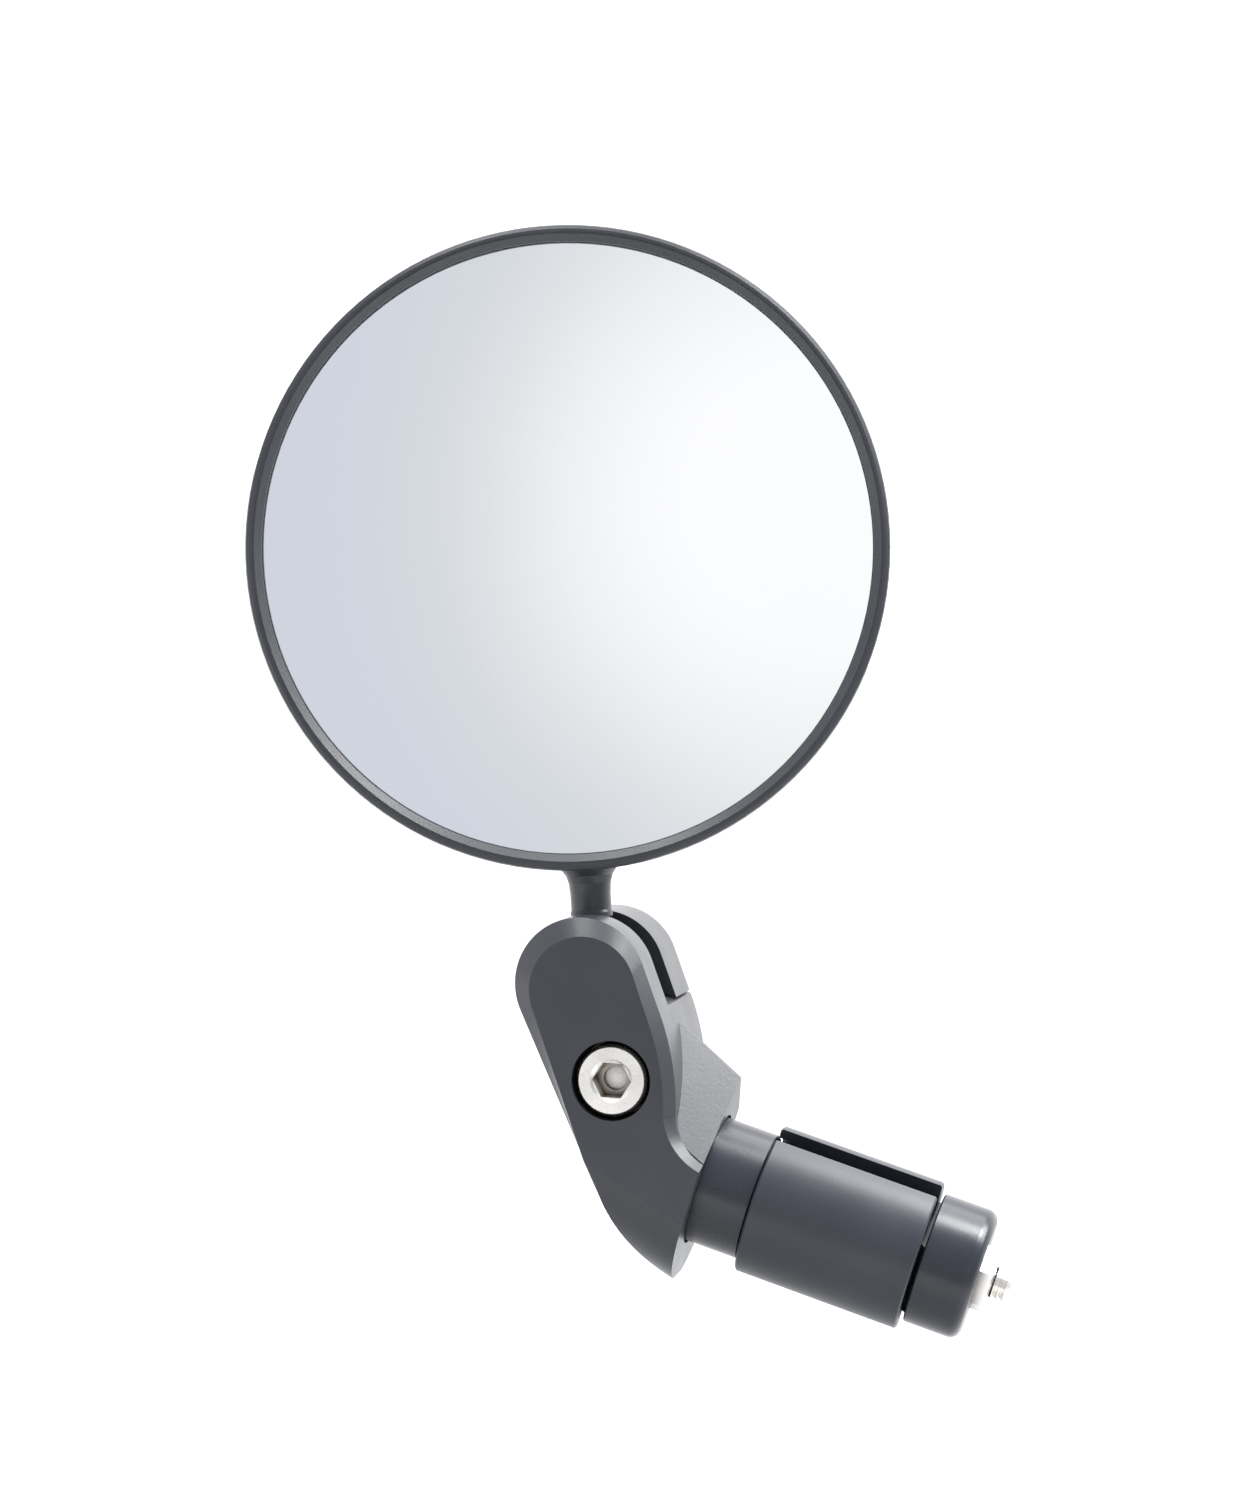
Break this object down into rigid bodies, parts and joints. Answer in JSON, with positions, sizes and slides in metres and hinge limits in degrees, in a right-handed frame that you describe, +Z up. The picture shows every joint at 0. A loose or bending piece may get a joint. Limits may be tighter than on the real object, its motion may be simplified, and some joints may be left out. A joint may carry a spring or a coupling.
{
  "type": "bicycle bar-end mirror",
  "caption": "Round convex rear-view mirror on a ball-jointed two-part clamp arm with an expanding bar-end plug for a bicycle handlebar.",
  "frame": {"origin": "centre of the face of the arm's foot that the handlebar's end sits against, on the plug's axis", "axes": "+X along the plug into the handlebar, +Y away from the side the mirror faces, +Z up, across the plug"},
  "size_m": [0.1128, 0.0245, 0.1157],
  "materials": {
    "housing_plastic": "satin moulded, dark charcoal",
    "bezel_plastic": "satin moulded, dark charcoal",
    "arm_plastic": "satin moulded, dark charcoal",
    "ball_plastic": "smooth moulded",
    "jaw_plastic": "satin moulded, blue-black",
    "plug_plastic": "satin moulded, blue-black",
    "washer_nylon": "dull",
    "seal_foam": "closed-cell foam tape",
    "mirror_glass": "silvered convex glass",
    "screw_steel": "bright plated",
    "bolt_steel": "bright plated",
    "nut_steel": "bright plated"
  },
  "bodies": {
    "plug": {"plug_core": "plug_plastic", "swivel_washer": "washer_nylon"},
    "arm": {"arm_front_half": "arm_plastic", "clamp_washer": "screw_steel", "bolt_washer": "bolt_steel"},
    "arm_rear": {"arm_rear_half": "arm_plastic", "clamp_nut": "nut_steel"},
    "clamp_screw": {"clamp_screw": "screw_steel"},
    "ball": {"pivot_ball": "ball_plastic"},
    "head": {"mirror_housing": "housing_plastic", "bezel_ring": "bezel_plastic", "mirror_glass": "mirror_glass", "glass_seal_ring": "seal_foam"},
    "expander_bolt": {"expander_bolt": "bolt_steel"},
    "wedge": {"wedge_cap": "plug_plastic", "expander_nut": "nut_steel"},
    "jaw_front": {"jaw_front": "jaw_plastic"},
    "jaw_rear": {"jaw_rear": "jaw_plastic"}
  },
  "joints": [
    {"name": "arm_swivel", "type": "hinge", "parent": "plug", "child": "arm", "pos_m": [0, 0, 0], "axis": [1, 0, 0], "continuous": true},
    {"name": "clamp_screw_turn", "type": "hinge", "parent": "arm", "child": "clamp_screw", "pos_m": [-0.013, 0, 0.0091], "axis": [0, -1, 0], "range_deg": [0, 452]},
    {"name": "rear_half_slide", "type": "slide", "parent": "arm", "child": "arm_rear", "axis": [0, 1, 0], "range_m": [0, 0.001]},
    {"name": "neck_swing", "type": "hinge", "parent": "arm", "child": "ball", "pos_m": [-0.0201, 0, 0.0183], "axis": [0, 1, 0], "range_deg": [-9, 72]},
    {"name": "head_spin", "type": "hinge", "parent": "ball", "child": "head", "pos_m": [-0.0201, 0, 0.0183], "axis": [-0.3665, 0, 0.9304], "continuous": true},
    {"name": "expander_screw_turn", "type": "hinge", "parent": "plug", "child": "expander_bolt", "pos_m": [0, 0, 0], "axis": [1, 0, 0], "range_deg": [0, 876]},
    {"name": "wedge_slide", "type": "slide", "parent": "plug", "child": "wedge", "axis": [-1, 0, 0], "range_m": [0, 0.0017]},
    {"name": "jaw_front_slide", "type": "slide", "parent": "plug", "child": "jaw_front", "axis": [-0.9397, -0.3271, -0.1], "range_m": [0, 0.00133]},
    {"name": "jaw_rear_slide", "type": "slide", "parent": "plug", "child": "jaw_rear", "axis": [-0.9397, 0.3271, 0.1], "range_m": [0, 0.00133]}
  ],
  "couplings": [
    {"joint": "clamp_screw_turn", "follows": "rear_half_slide", "rad_per_m": 7854},
    {"joint": "expander_screw_turn", "follows": "wedge_slide", "rad_per_m": 8976},
    {"joint": "jaw_front_slide", "follows": "wedge_slide", "ratio": 0.78021},
    {"joint": "jaw_rear_slide", "follows": "wedge_slide", "ratio": 0.78021}
  ]
}
